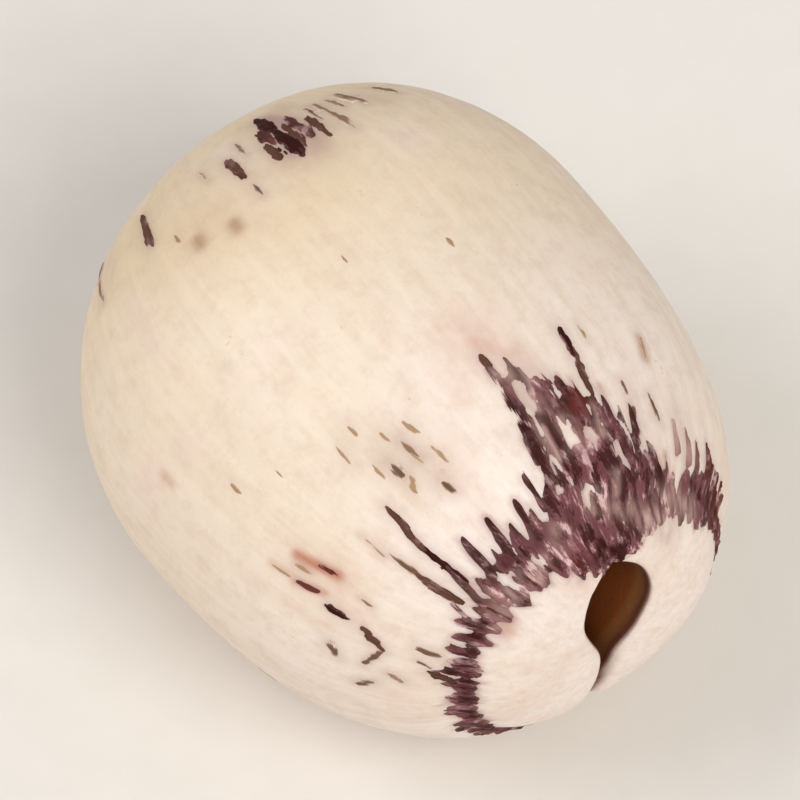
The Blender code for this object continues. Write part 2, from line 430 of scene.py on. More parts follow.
# %% [markdown]
# Dried seed flesh
#
# The flesh is starch with a little protein, dried hard: cream, satin and slightly see-through, like a raw
# cashew. Light goes in a little way and comes out warmer, which a weak subsurface term with a radius near a
# millimetre gives. Starch has an IOR near 1.53. The dry, rubbed skin has a roughness near a half. Its
# colour goes from a pinkish white at the tip to straw at the base, and drifts by a few millimetres on the
# way. Fine pale and dark lines follow the grain, about 0.3 mm apart. Tiny tan specks are about a tenth of a
# millimetre on the seed, and are drawn at twice that to show.

# %% Mix the flesh material
TIP_WHITE, BASE_STRAW, BLUSH, LINE_TAN, MOTTLE_TAN, SPECK_TAN = (
    "#f8ebe2", "#ebd5ae", "#f1dacd", "#d6bda0", "#d8bba2", "#b28a66")
MAUVE_STAIN, TAN_STAIN, ORANGE_STAIN, SEAM_TAN_AND_SHADE = "#b38a82", "#a8835c", "#b9683c", "#b99a86"
HOLLOW_BROWN, HOLLOW_GOLD, RIM_BROWN_AND_SLIT_SHADE = "#8a4a1e", "#c08d4e", "#5e2c14"


def flesh_material():
    material, tree, shader = new_finish("dried_seed_flesh")
    grain = add(tree, "Attribute", attribute_name="grain").outputs["Vector"]
    along_grain = add(tree, "VectorMath", {0: grain, 1: (1, 1, 0.1)}, operation="MULTIPLY").outputs[0]

    drift = add(tree, "TexNoise", {"Vector": grain, "Scale": 0.2, "Detail": 2.0}).outputs["Fac"]
    down = add(tree, "SeparateXYZ", {0: grain}).outputs["Z"]
    age = add(tree, "Math", {0: drift, 1: 14.0, 2: down}, operation="MULTIPLY_ADD").outputs[0]
    age = add(tree, "MapRange", {"Value": age, "From Min": 10.0, "From Max": 26.0}).outputs[0]
    base = tinted(tree, age, TIP_WHITE, BASE_STRAW)
    blush = add(tree, "TexNoise", {"Vector": grain, "Scale": 0.34, "Detail": 3.0, "Distortion": 0.4})
    blush = add(tree, "MapRange", {
        "Value": blush.outputs["Fac"], "From Min": 0.5, "From Max": 0.7, "To Max": 0.7}, **SMOOTH)
    base = tinted(tree, blush.outputs[0], base, BLUSH)

    lines = add(tree, "TexNoise", {"Vector": along_grain, "Scale": 3.2, "Detail": 5.0, "Roughness": 0.6})
    line_share = add(tree, "MapRange", {
        "Value": lines.outputs["Fac"], "From Min": 0.35, "From Max": 0.75, "To Max": 0.3})
    base = tinted(tree, line_share.outputs[0], base, LINE_TAN)
    mottle = add(tree, "TexNoise", {"Vector": grain, "Scale": 2.1, "Detail": 6.0, "Roughness": 0.7})
    mottle_share = add(tree, "MapRange", {
        "Value": mottle.outputs["Fac"], "From Min": 0.46, "From Max": 0.72, "To Max": 0.42})
    base = tinted(tree, mottle_share.outputs[0], base, MOTTLE_TAN)

    uneven = add(tree, "TexNoise", {"Vector": grain, "Scale": 5.0, "Detail": 3.0}).outputs["Color"]
    speck_place = add(tree, "VectorMath", {
        0: grain, 1: (1, 1, 0.6), 2: uneven}, operation="MULTIPLY_ADD").outputs[0]
    cells = add(tree, "TexVoronoi", {"Vector": speck_place, "Scale": 1.5, "Randomness": 1.0})
    speck = add(tree, "MapRange", {
        "Value": cells.outputs["Distance"], "From Min": 0.05, "From Max": 0.16, "To Min": 1.0, "To Max": 0.0},
        **SMOOTH)
    chosen = add(tree, "SeparateColor", {0: cells.outputs["Color"]}).outputs[0]
    rare = add(tree, "MapRange", {
        "Value": chosen, "From Min": 0.6, "From Max": 1.0, "To Max": 0.34}).outputs[0]
    speck_share = add(tree, "Math", {0: speck.outputs[0], 1: rare}, operation="MULTIPLY").outputs[0]
    base = tinted(tree, speck_share, base, SPECK_TAN)

    # The seam's tan and the rim's brown down the slit are partly painted shade in the crease and the slit.
    for key, stain in (
            ("mauve", MAUVE_STAIN), ("tan", TAN_STAIN), ("orange", ORANGE_STAIN), ("seam", SEAM_TAN_AND_SHADE),
            ("rim", RIM_BROWN_AND_SLIT_SHADE)):
        share = add(tree, "Attribute", attribute_name=key).outputs["Fac"]
        base = tinted(tree, share, base, stain)
    hollow = add(tree, "Attribute", attribute_name="hollow").outputs["Fac"]
    deep = add(tree, "Attribute", attribute_name="deep").outputs["Fac"]
    brown = tinted(tree, deep, HOLLOW_GOLD, HOLLOW_BROWN)
    base = tinted(tree, hollow, base, brown)
    tree.links.new(base, shader.inputs["Base Color"])

    grit = add(tree, "TexNoise", {"Vector": grain, "Scale": 9.0, "Detail": 4.0, "Roughness": 0.6})
    height = add(tree, "Math", {
        0: lines.outputs["Fac"], 1: 1.4, 2: grit.outputs["Fac"]}, operation="MULTIPLY_ADD").outputs[0]
    bump = add(tree, "Bump", {"Strength": 0.6, "Distance": 0.014 * MM, "Height": height})
    tree.links.new(bump.outputs[0], shader.inputs["Normal"])
    dryness = add(tree, "MapRange", {
        "Value": mottle.outputs["Fac"], "From Min": 0.3, "From Max": 0.7, "To Min": 0.44, "To Max": 0.6})
    tree.links.new(dryness.outputs[0], shader.inputs["Roughness"])
    shader.inputs["IOR"].default_value = 1.53
    shader.inputs["Subsurface Weight"].default_value = 0.15
    shader.inputs["Subsurface Radius"].default_value = (1.0, 0.6, 0.35)
    shader.inputs["Subsurface Scale"].default_value = 0.8 * MM
    return material


dried_flesh = flesh_material()
print("the flesh's finish has", len(dried_flesh.node_tree.nodes), "nodes")

# %% [markdown]
# Marks along the grain
#
# Veins of the coat, loose threads and stains all lie along the grain. One measure serves them all: how far
# a point is from a short line on the skin, counted down the meridian and around the seed in real
# millimetres. A mark is then a start, an end and a width. Longitudes are in degrees and distances along the
# axis in millimetres.


# %% Measure from a line on the skin
def latitude_along(along):
    reach, fullness = half_at(along)
    return np.arccos(np.sign(along) * np.minimum(np.abs(along) / reach, 1) ** (fullness / 2))


def wrapped(angle):
    return (angle + np.pi) % (2 * np.pi) - np.pi


def from_line(latitude, longitude, line):
    """How far down a line the nearest point is, as a share, and how far off the line it lies."""
    side, start, end_side, end = line[:4]
    start_latitude, end_latitude = latitude_along(start * MM), latitude_along(end * MM)
    around = wrapped(longitude - np.radians(side)) * profile(latitude)[1] / MM
    down = down_meridian(latitude) - down_meridian(start_latitude)
    end_around = np.radians(end_side - side) * profile(end_latitude)[1] / MM
    end_down = down_meridian(end_latitude) - down_meridian(start_latitude)
    share = np.clip((around * end_around + down * end_down) / (end_around**2 + end_down**2), 0, 1)
    return share, np.hypot(around - share * end_around, down - share * end_down)


def marks(latitude, longitude, lines):
    """The strongest of some soft marks, each a line with its width and its strength."""
    total = np.zeros(np.broadcast(latitude, longitude).shape)
    for line in lines:
        *_, width, strength = line
        _, distance = from_line(latitude, longitude, line)
        total = np.maximum(total, strength * np.exp(-((distance / (0.6 * width)) ** 2)))
    return total


print("a mark's ends lie at latitudes", np.degrees(latitude_along(np.array([6, -4]) * MM)).round(), "degrees")

# %% [markdown]
# Where the coat still clings
#
# Peeling tore the coat off towards the tip, so what is left is a collar round the nipple with a patch up
# the top of the seed, along the seam, where it holds on best. Its edge is a comb, because it tears along
# the grain. Two lines of a few points by longitude say where the collar starts and ends. The comb's teeth
# and the small windows are marks, and seeded noise frays the rest.

# %% Draw the coat's edges
# Longitude, and how far along the axis the coat reaches between the teeth
EDGE_LINE = np.array([
    (-180, 7.42), (-150, 7.43), (-112, 7.47), (-90, 7.46), (-80, 7.4), (-70, 7.25), (-62, 7.1), (-56, 7.2),
    (-50, 7.35), (-44, 7.45), (-39, 7.45), (-34, 7.15), (-30, 6.85), (-26, 6.65), (-23.5, 6.3), (-20, 5.75),
    (-15.5, 5.35), (-11, 5.1), (-8, 4.6), (-4, 4.3), (-1.4, 4.05), (-0.2, 4.1), (0.6, 4.9), (2, 5.9),
    (5, 6.5), (9, 6.85), (17, 7.02), (26, 7.08), (36, 7.1), (45, 7.2), (56, 7.34), (72, 7.46), (95, 7.47),
    (150, 7.43), (180, 7.42),
])
# Longitude, and how far out from the axis the coat's inner edge lies
INNER_LINE = np.array([
    (-180, 3.3), (-150, 3.28), (-110, 3.2), (-85, 3.2), (-64, 3), (-49, 2.95), (-35, 2.95), (-26, 2.75),
    (-20, 2.5), (-13, 2.34), (-5, 2.25), (4, 2.36), (11, 2.6), (17, 2.9), (25, 3.02), (40, 3.08),
    (50, 3.12), (60, 3.24), (74, 3.18), (92, 3.05), (110, 3.14), (150, 3.28), (180, 3.3),
])
# The comb: each tooth from its tip to its root, with its width
TEETH = [
    (39.7, 6.5, 44.5, 7.3, 0.28), (30.8, 6.35, 35, 7.2, 0.3), (23.2, 6.45, 26.5, 7.2, 0.3),
    (14.6, 6.5, 17.5, 7.2, 0.3), (8.2, 6.25, 9.8, 6.95, 0.2), (19.5, 6.75, 21.5, 7.2, 0.16),
    (49, 6.95, 53, 7.4, 0.2), (-21.8, 5.5, -21, 6.7, 0.3), (-28.6, 5.95, -28, 6.5, 0.24),
    (-27.2, 6.5, -28, 7, 0.22), (-30.2, 6.65, -35.5, 7.4, 0.3), (-25, 5.95, -24.4, 6.7, 0.15),
    (-43, 6.4, -43.5, 6.95, 0.16), (-48.3, 6.45, -49.5, 7.1, 0.17), (-53.5, 6.75, -55, 7.3, 0.16),
    (-60, 6.7, -64, 7.5, 0.32), (-67, 6.95, -71, 7.5, 0.24), (-75, 7.1, -80, 7.6, 0.24),
    (-16, 5.15, -15.8, 5.9, 0.26), (-10.4, 4.95, -10.6, 5.8, 0.2), (-5.2, 4.15, -6, 4.9, 0.24),
    (63, 7.22, 66, 7.45, 0.18), (-12.8, 5, -13, 5.6, 0.14), (-37.5, 6.95, -38.5, 7.4, 0.14),
    (33.5, 6.8, 36, 7.2, 0.14), (12, 6.7, 13, 7, 0.14), (28.5, 6.85, 30, 7.2, 0.14),
    (2.6, 5.7, 3.4, 6.2, 0.16), (74, 7.3, 78, 7.5, 0.16),
]
# Windows in the patch, and at the end a gap in the collar below the slit, each with its width
WINDOWS = [
    (-3.6, 4.75, -5.2, 5.2, 0.24), (-8.9, 5.85, -8.6, 6.15, 0.2), (-16.9, 5.8, -17, 6.2, 0.12),
    (-5.2, 7.15, -5.5, 7.3, 0.2), (-13.4, 6.1, -13.2, 6.35, 0.1), (-24.6, 6.35, -25.6, 6.8, 0.13),
    (-1.9, 5.5, -2.2, 5.8, 0.1), (-19, 6.6, -19.6, 6.9, 0.1), (-11.8, 5.3, -11.6, 5.6, 0.12),
    (22, 7.42, 23.5, 7.52, 0.12), (31, 7.35, 33, 7.5, 0.12), (-31, 7.3, -32, 7.5, 0.12),
    (-0.6, 6.3, -0.6, 6.5, 0.08), (176, 7.3, 176, 7.9, 2.2),
]


def hidden_teeth():
    draw = np.random.default_rng(31)
    sides = [*draw.uniform(-160, -96, 15), *draw.uniform(98, 156, 15)]
    found = []
    for side in sides:
        tip = 7.47 - 0.22 * draw.uniform() ** 1.5
        found.append((side, tip, side + draw.uniform(-3, 3), 7.58, draw.uniform(0.12, 0.24)))
    return found


COMB = TEETH + hidden_teeth()
print(len(COMB), "teeth along the coat's edge")


# %% Measure how well the coat covers each point
def coat_cover(latitude, longitude):
    """How far inside the coat a point lies, in millimetres; below 0 the flesh is bare."""
    along, out = profile(latitude)
    points = grain_of(latitude, longitude)
    crumble = ripples(points, (0.2, 0.45), 20, seed=13)
    degrees = np.degrees(wrapped(longitude)) + 1.1 * ripples(points, (0.4, 0.55), 18, seed=15) + 0.5 * crumble
    fray = 0.13 * ripples(points, (0.5, 1.6), 18, seed=12) + 0.05 * crumble
    body = along / MM - np.interp(degrees, *EDGE_LINE.T) + fray
    holes = 0.3 * (1.47 - ripples(points, (0.4, 0.85), 20, seed=17))
    fewer_in_collar = 0.4 * smooth_step(6.8, 7.5, along / MM)
    more_at_top = 0.26 * smooth_step(5.5, 4.5, along / MM)
    cover = np.minimum(body, holes + fewer_in_collar - more_at_top + 0.06 * crumble)
    for tooth in COMB:
        share, distance = from_line(latitude, longitude, tooth)
        cover = np.maximum(cover, tooth[-1] * (0.1 + 0.36 * share**0.7) + 0.24 * fray - distance)
    for window in WINDOWS:
        _, distance = from_line(latitude, longitude, window)
        cover = np.minimum(cover, distance - 0.5 * window[-1] + 0.6 * fray + 0.07 * crumble)
    threads = 0.08 * (ripples(points, (0.19, 1.6), 20, seed=29) - 0.8)
    cover = np.maximum(cover, np.minimum(threads, body - 0.2))
    rim = out / MM - np.interp(degrees, *INNER_LINE.T) + 0.7 * fray
    return np.where(along > 0, np.minimum(cover, rim), -1)


sample = coat_cover(np.array(latitude_at(6.9 * MM)), np.radians(np.array([-20.0, 30.0, 120.0])))
print("cover at 6.9 mm along, at three longitudes:", sample.round(2), "mm")

# %% [markdown]
# Loose flecks and threads
#
# Scraps of the coat stay stuck to the flesh as threads along the grain, and as a broken ring of crumbs
# round the base. A short list holds those that the seed shows from above, and a seeded draw adds some on
# the hidden sides.

# %% List the flecks
# Each tone's share of the thin film's colour, of the furrow's dark, of rust and of tan
TONES = {
    "dark": (0, 1, 0, 0), "brown": (0, 0.82, 0.12, 0.14), "rust": (0, 0.45, 0.6, 0),
    "mauve": (0.08, 0.45, 0.2, 0), "grey": (0, 0.8, 0, 0.3), "olive": (0, 0.62, 0, 0.55),
    "tan": (0, 0, 0, 1),
}
FAINT_TONES = ("grey", "olive", "tan")
# Each fleck's start and end, its width and its tone
FLECKS = [
    (-20.8, 4.08, -20.3, 4.75, 0.25, "dark"), (-20.5, 4.55, -19.4, 5.6, 0.16, "brown"),
    (-0.9, 3.86, -0.9, 4.2, 0.2, "brown"), (37.3, 4.95, 40.1, 6.15, 0.17, "brown"),
    (39.4, 5.8, 40.6, 6.95, 0.19, "dark"), (45.9, 5.55, 46.7, 6.5, 0.17, "grey"),
    (46.4, 6.2, 47.3, 7.1, 0.2, "brown"), (46.4, 4.95, 47.2, 5.55, 0.11, "tan"),
    (67.2, 5.1, 67.6, 5.6, 0.25, "dark"), (68.3, 5.85, 72.4, 6.35, 0.2, "brown"),
    (73, 6.36, 80.2, 6.05, 0.19, "grey"), (67.8, 6.8, 69.5, 7.22, 0.19, "grey"),
    (77.1, 7.1, 82.5, 7.5, 0.19, "brown"), (78.2, 5.35, 80.5, 5.6, 0.3, "grey"),
    (86.4, 6.32, 89.2, 6, 0.24, "grey"), (80.9, 6.5, 83.4, 6.8, 0.18, "olive"),
    (58.8, 4.6, 58.2, 5.02, 0.14, "rust"), (24.4, 5.4, 23.6, 5.7, 0.22, "grey"),
    (29.5, 4.45, 29.5, 4.82, 0.26, "grey"), (24.6, 4.25, 23.8, 4.8, 0.19, "olive"),
    (66, 4.35, 64.9, 4.85, 0.15, "rust"), (62, 4.15, 61.6, 4.5, 0.11, "tan"),
    (-2.4, -4.3, -1.2, -3.45, 0.3, "dark"), (-1.2, -3.5, -0.8, -2.35, 0.36, "dark"),
    (-3.8, -3.5, -3, -2.5, 0.24, "brown"), (3, -3.25, 3.5, -2.6, 0.24, "brown"),
    (-6.6, -3.7, -6.2, -2.7, 0.28, "mauve"), (1.4, -3.8, 1.6, -3.1, 0.24, "mauve"),
    (-10, -3.35, -9.1, -2.45, 0.19, "brown"), (-12.8, -3.7, -11.9, -3, 0.16, "grey"),
    (-15.6, -3.7, -14.8, -2.3, 0.25, "olive"), (-23.3, -3.75, -24.8, -2.9, 0.3, "olive"),
    (-19.2, -3.7, -19, -3.1, 0.15, "olive"), (-32.7, -3.6, -35.4, -3, 0.22, "olive"),
    (13.3, -3.65, 12.3, -2.75, 0.2, "brown"), (12.1, -2.52, 12.1, -2.05, 0.15, "grey"),
    (41, -4.2, 39.9, -3.2, 0.26, "brown"), (65.4, -4.2, 60.9, -3.4, 0.2, "olive"),
    (67, -4.6, 65.4, -4.15, 0.16, "olive"), (8, -3.9, 8.2, -3.3, 0.13, "olive"),
    (20, -3.9, 19.4, -3.4, 0.1, "tan"), (-29.3, 5.5, -29.2, 5.82, 0.16, "grey"),
    (-29.4, 6.02, -29.1, 6.26, 0.2, "grey"), (-42.3, 4.7, -40.7, 5.15, 0.08, "tan"),
    (-36.5, 5.85, -37.5, 6.4, 0.16, "grey"), (73, 6.9, 75.5, 7.15, 0.11, "grey"),
    (60.5, 5.6, 60.8, 5.85, 0.1, "olive"),
]


def hidden_flecks():
    draw = np.random.default_rng(77)
    found = []
    for _ in range(40):
        side = draw.uniform(140, 250)
        near_tip = draw.uniform() < 0.5
        start = draw.uniform(4.6, 6.6) if near_tip else draw.uniform(-4.7, -3.0)
        length = draw.uniform(0.25, 1.1) if near_tip else draw.uniform(0.25, 0.8)
        width = draw.uniform(0.09, 0.24)
        end_side = side + draw.uniform(-2, 2)
        tone = draw.choice(["dark", "brown", "grey"])
        found.append((side, start, end_side, start + length, width, tone))
    return found


# Small tan shreds, in the same terms
SHREDS = [
    (30.4, 3.28, 30.5, 3.58, 0.13), (21.6, 4, 20.1, 4.42, 0.14), (20.6, 4.75, 20.2, 5.22, 0.15),
    (35.1, 3.38, 35.7, 3.92, 0.12), (28.6, 4.9, 30.3, 5.2, 0.13), (26.5, 3.85, 26.2, 4.15, 0.12),
    (24.8, 4.55, 24.4, 4.95, 0.12), (17.2, 3.65, 16.8, 3.9, 0.1), (32.6, 4.2, 32.9, 4.6, 0.11),
    (48, 2.7, 48.2, 3, 0.1), (62.5, 4.15, 61.8, 4.55, 0.13), (66.2, 3.75, 65.8, 4.2, 0.12),
    (-41.2, 4.75, -40.9, 5.1, 0.1), (-25.5, 4.15, -25.7, 4.5, 0.1), (33.5, -2.9, 32.8, -2.6, 0.1),
    (57.5, 2.1, 57.6, 2.4, 0.1), (-12, 1.2, -12.1, 1.5, 0.09), (8, 0.3, 8.1, 0.6, 0.09),
    (118, 3.1, 118.5, 3.7, 0.14), (171, 4.1, 172, 4.8, 0.14),
]
print(len(FLECKS), "flecks and", len(SHREDS), "shreds placed by hand")

# %% [markdown]
# Stains and painted shade in the flesh
#
# Beside the torn coat the flesh is tinged mauve, and here and there a tan or orange mark is left where a
# vein of the coat was. Along the seam below the mouth a tan, and down the slit a dark brown, are partly the
# seed's own and partly painted shade in the crease. They are soft, so a number at each point of the fine
# mesh holds them.

# %% Place the stains and the painted shade in the seam and slit
TAN_MARKS = (
    (27, 4.2, 25, 5, 1.2, 0.3), (30.4, 3.3, 35, 3.9, 0.7, 0.2), (29.2, -2.3, 29.2, -2.15, 0.3, 0.75),
    (20.7, -1.95, 20.7, -1.8, 0.3, 0.75), (-41.5, 4.7, -40.7, 5.15, 0.2, 0.3),
    (-25.5, 4.1, -25.8, 4.6, 0.2, 0.25), (140, 2, 142, 3.1, 0.25, 0.4), (-120, 0.5, -121, 1.4, 0.25, 0.4),
    (-150, 3.8, -151, 4.7, 0.25, 0.4),
)
ORANGE_MARKS = (
    (60, 4.1, 58.3, 5, 0.26, 0.85), (66.3, 4.3, 64.3, 4.95, 0.22, 0.5), (66, 3.7, 65.7, 4.25, 0.22, 0.35),
    (61, 4.3, 60, 5, 0.9, 0.22), (-2.4, 3, -5.4, 3.85, 0.7, 0.16), (-2.1, 3.55, -6.3, 4.15, 0.4, 0.3),
    (69.4, 0.6, 69.4, 0.8, 0.24, 0.4), (44, 7.5, 50, 7.8, 0.36, 0.45), (-42, 4.8, -41, 5.1, 0.3, 0.2),
    (30, -2.6, 24, -2.4, 1.2, 0.1),
)
MAUVE_MARKS = (
    (-5, -4, -2.5, -2.6, 1.1, 0.85), (-14, -3.6, -12, -2.8, 0.9, 0.5), (-22, -3.5, -28, -2.9, 0.9, 0.35),
    (46, 7.7, 52, 7.7, 0.45, 0.6), (24, 7.72, 35, 7.66, 0.5, 0.3), (-7, 4.45, -11, 5, 0.5, 0.55),
    (3, -3.4, 3, -2.4, 0.6, 0.4), (13, -3.6, 12, -2.4, 0.5, 0.25), (42, -4.4, 40, -3.3, 0.5, 0.25),
    (60, -4.4, 58, -3.6, 0.7, 0.2), (68, 5.1, 72, 6.3, 0.7, 0.16), (-31, 7.6, -38, 7.95, 0.7, 0.5),
    (-30, 5.8, -30, 6.8, 0.7, 0.25), (-46, 6.3, -48, 7, 0.7, 0.3), (-8, 4.2, -9, 4.7, 0.5, 0.35),
    (25, 6.6, 30, 7, 0.9, 0.14), (5, 5.5, 7, 6.4, 0.5, 0.2), (8, 7.95, 14, 8, 0.3, 0.4),
    (-61, 6.95, -84, 7.62, 0.6, 0.55),
)


def mauve_tinge(latitude, longitude):
    cover = coat_cover(latitude, longitude)
    patchy = np.clip(0.55 + 0.45 * ripples(grain_of(latitude, longitude), (0.7, 1.8), 14, seed=21), 0, 1)
    near_coat = 0.75 * smooth_step(-0.2, 0.04, cover) * patchy
    halos = marks(latitude, longitude, [(*fleck[:4], fleck[4] + 0.14, 0.3) for fleck in FLECKS])
    placed_by_hand = marks(latitude, longitude, MAUVE_MARKS) * (0.5 + 0.5 * patchy)
    return np.maximum.reduce([near_coat, halos, placed_by_hand])


# A pinkish tan along the seam below the mouth, towards the tip: partly coat left in the seam and partly
# painted shade in its crease.
def seam_tan_and_shade(latitude, longitude):
    along, out = profile(latitude)
    turned = longitude - SEAM_LONGITUDE
    across = np.exp(-((out * np.sin(turned) / (0.16 * MM)) ** 2))
    below = smooth_step(0.2, -0.6, np.cos(turned))
    return 0.7 * across * below * smooth_step(6.8 * MM, 7.5 * MM, along)


def rim_brown_and_slit_shade(latitude, longitude):
    """The dark brown of the hollow's rim, which runs on down the slit to the tip's lower edge; down the slit
    it is partly painted shade.
    """
    along, out = profile(latitude)
    turned = longitude - SEAM_LONGITUDE
    # Down the slit, the brown is partly the lining's colour and partly painted shade in the narrow slit.
    slit_brown_and_shade = np.exp(-((out * np.sin(turned) / (0.15 * MM)) ** 2)) * (np.cos(turned) < 0)
    slit_brown_and_shade = slit_brown_and_shade * smooth_step(7.75 * MM, 7.95 * MM, along)
    return np.maximum(slit_brown_and_shade, smooth_step(0.06 * MM, 0.01 * MM, from_mouth(latitude, longitude)))


flesh_place = (flesh_latitude, flesh_longitude)
outside = 1 - inside
deep = inside * smooth_step(2.4, 0.5, flesh_latitude)
flesh = {
    "grain": grain_of(*flesh_place),
    "mauve": mauve_tinge(*flesh_place) * outside,
    "tan": marks(*flesh_place, TAN_MARKS) * outside,
    "orange": marks(*flesh_place, ORANGE_MARKS) * outside,
    "seam": seam_tan_and_shade(*flesh_place) * outside,
    "rim": np.maximum(rim_brown_and_slit_shade(*flesh_place) * outside, deep),
    "hollow": inside,
    "deep": deep,
}
print("stained points:", {key: int((flesh[key] > 0.1).sum()) for key in ("mauve", "tan", "orange")})

# %% Make the flesh
seed_flesh = mesh_object(
    "seed_flesh", flesh_points, ring_faces(len(flesh_points), COLUMNS, True), flesh, dried_flesh)
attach(seed_flesh, "root")
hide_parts("kernel")

# %% [markdown]
# Dry seed coat
#
# The coat is a papery skin, tanned purple-brown, with furrows along the grain about 0.4 mm apart that are
# nearly black, and paler mauve ridges between. Where it is thin, the pink flesh shows through it. It is matt:
# roughness near 0.7, IOR 1.5 like most dry plant skin, and a low specular level, because its fibres scatter
# what they reflect. Loose flecks use the same finish, and a few veins are red-brown.

# %% Mix the coat material
COAT_MAUVE, COAT_ROSE, COAT_PINK, COAT_FURROW = "#77484d", "#aa7d7f", "#e8c3c2", "#36110a"
COAT_FILM, COAT_RUST, COAT_TAN, BARE_CREAM = "#d4b3a8", "#6e2c1e", "#b08f6c", "#f1ddca"


def coat_material():
    material, tree, shader = new_finish("dry_seed_coat")
    grain = add(tree, "Attribute", attribute_name="grain").outputs["Vector"]
    along_grain = add(tree, "VectorMath", {0: grain, 1: (1, 1, 0.5)}, operation="MULTIPLY").outputs[0]
    ridges = add(tree, "TexNoise", {
        "Vector": along_grain, "Scale": 2.6, "Detail": 4.0, "Roughness": 0.65, "Distortion": 0.2})
    rose = add(tree, "MapRange", {
        "Value": ridges.outputs["Fac"], "From Min": 0.49, "From Max": 0.57}, **SMOOTH)
    tone = tinted(tree, rose.outputs[0], COAT_MAUVE, COAT_ROSE)
    pink = add(tree, "MapRange", {
        "Value": ridges.outputs["Fac"], "From Min": 0.56, "From Max": 0.62, "To Max": 0.9}, **SMOOTH)
    tone = tinted(tree, pink.outputs[0], tone, COAT_PINK)
    furrows = add(tree, "TexNoise", {
        "Vector": along_grain, "Scale": 2.2, "Detail": 4.0, "Roughness": 0.7, "Distortion": 0.3})
    dark = add(tree, "MapRange", {
        "Value": furrows.outputs["Fac"], "From Min": 0.49, "From Max": 0.56, "To Max": 0.84}, **SMOOTH)
    tone = tinted(tree, dark.outputs[0], tone, COAT_FURROW)
    for key, hex_value in (
            ("film", COAT_FILM), ("dark", COAT_FURROW), ("rust", COAT_RUST), ("tan", COAT_TAN),
            ("bare", BARE_CREAM)):
        share = add(tree, "Attribute", attribute_name=key).outputs["Fac"]
        tone = tinted(tree, share, tone, hex_value)
    tree.links.new(tone, shader.inputs["Base Color"])
    fibres = add(tree, "TexNoise", {"Vector": along_grain, "Scale": 9.0, "Detail": 4.0})
    height = add(tree, "Math", {
        0: furrows.outputs["Fac"], 1: -2.0, 2: fibres.outputs["Fac"]}, operation="MULTIPLY_ADD").outputs[0]
    bump = add(tree, "Bump", {"Strength": 0.8, "Distance": 0.03 * MM, "Height": height})
    tree.links.new(bump.outputs[0], shader.inputs["Normal"])
    wear = add(tree, "MapRange", {
        "Value": fibres.outputs["Fac"], "From Min": 0.3, "From Max": 0.7, "To Min": 0.62, "To Max": 0.8})
    tree.links.new(wear.outputs[0], shader.inputs["Roughness"])
    shader.inputs["IOR"].default_value = 1.5
    shader.inputs["Specular IOR Level"].default_value = 0.12
    return material


dry_coat = coat_material()
print("the coat's finish has", len(dry_coat.node_tree.nodes), "nodes")

# %% [markdown]
# The coat as a sheet that dives under the flesh
#
# A torn skin with windows is hard to cut out of a mesh face by face. It is easier to lay one sheet over the
# whole tip and to let it dive just under the flesh wherever the cover is below zero. The line where the two
# surfaces cross is then the torn edge, as fine as the cover function is, and the sheet's own border is
# never seen. Beside the mouth the sheet follows the rounded lip down.

# %% Lay the coat
COAT_THICKNESS = 0.07 * MM
COAT_HIDDEN = 0.06 * MM
COAT_UNDERSIDE = 0.096 * MM
COAT_COLUMNS = 720
COAT_ROWS = 96
UNDER_ROWS = 22
# How far the sheet goes on past the coat's edges, and how far it stays off the mouth
INNER_MARGIN, OUTER_MARGIN, TOOTH_MARGIN, MOUTH_MARGIN = 0.16, 0.25, 0.12, 0.03


def mouth_radius(longitude):
    up, across = mouth_outline(np.linspace(0, 2 * np.pi, 400))
    sides = np.arctan2(across, up)
    order = np.argsort(sides)
    return np.interp(wrapped(longitude), sides[order], np.hypot(up, across)[order])


coat_turns = np.linspace(-np.pi, np.pi, COAT_COLUMNS, endpoint=False)
coat_degrees = np.degrees(wrapped(coat_turns))
first_out = np.interp(coat_degrees, *INNER_LINE.T) * MM - INNER_MARGIN * MM
first_row = latitude_out(np.maximum(first_out, mouth_radius(coat_turns) + MOUTH_MARGIN * MM))
last_along = np.interp(coat_degrees, EDGE_LINE[:, 0], np.minimum(EDGE_LINE[:, 1] - OUTER_MARGIN, 6.75))
near_teeth = np.min([
    np.where(np.abs(coat_degrees - tip) < 5, reach - TOOTH_MARGIN, 9) for tip, reach, *_ in COMB], axis=0)
last_row = latitude_at(np.minimum(last_along, near_teeth) * MM)
soften = np.hanning(15) / np.hanning(15).sum()
wrapped_row = np.concatenate([last_row[-7:], last_row, last_row[:7]])
last_row = np.maximum(last_row, np.convolve(wrapped_row, soften, "valid"))


def coat_rows(count):
    latitude = first_row + (last_row - first_row) * np.linspace(0, 1, count)[:, None]
    return latitude, np.broadcast_to(coat_turns, latitude.shape)


coat_place = coat_rows(COAT_ROWS)
cover = coat_cover(*coat_place)
wrinkles = ripples(grain_of(*coat_place), (0.4, 1.6), 18, seed=44)
thickness = COAT_THICKNESS * (1 + 0.25 * wrinkles)
lift = -COAT_HIDDEN + (thickness + COAT_HIDDEN) * smooth_step(-0.06, 0.07, cover)
coat_top = surface(*coat_place, lift, rounding_drop(from_mouth(*coat_place)))
under_place = [part[::-1] for part in coat_rows(UNDER_ROWS)]
coat_under = surface(*under_place, -COAT_UNDERSIDE, rounding_drop(from_mouth(*under_place)))
print("the coat covers", round(float((cover > 0).mean()) * 100), "% of its sheet")

# %% [markdown]
# Dark, thin and rusty places
#
# The coat is darkest along the left side of its patch, in the comb's teeth, by the mouth and round the far
# side, which is also rusty. It is a thin rosy film at the patch's upper end, by the windows and in from the
# right-hand side of the collar. Each place is a mark with its width and its strength.

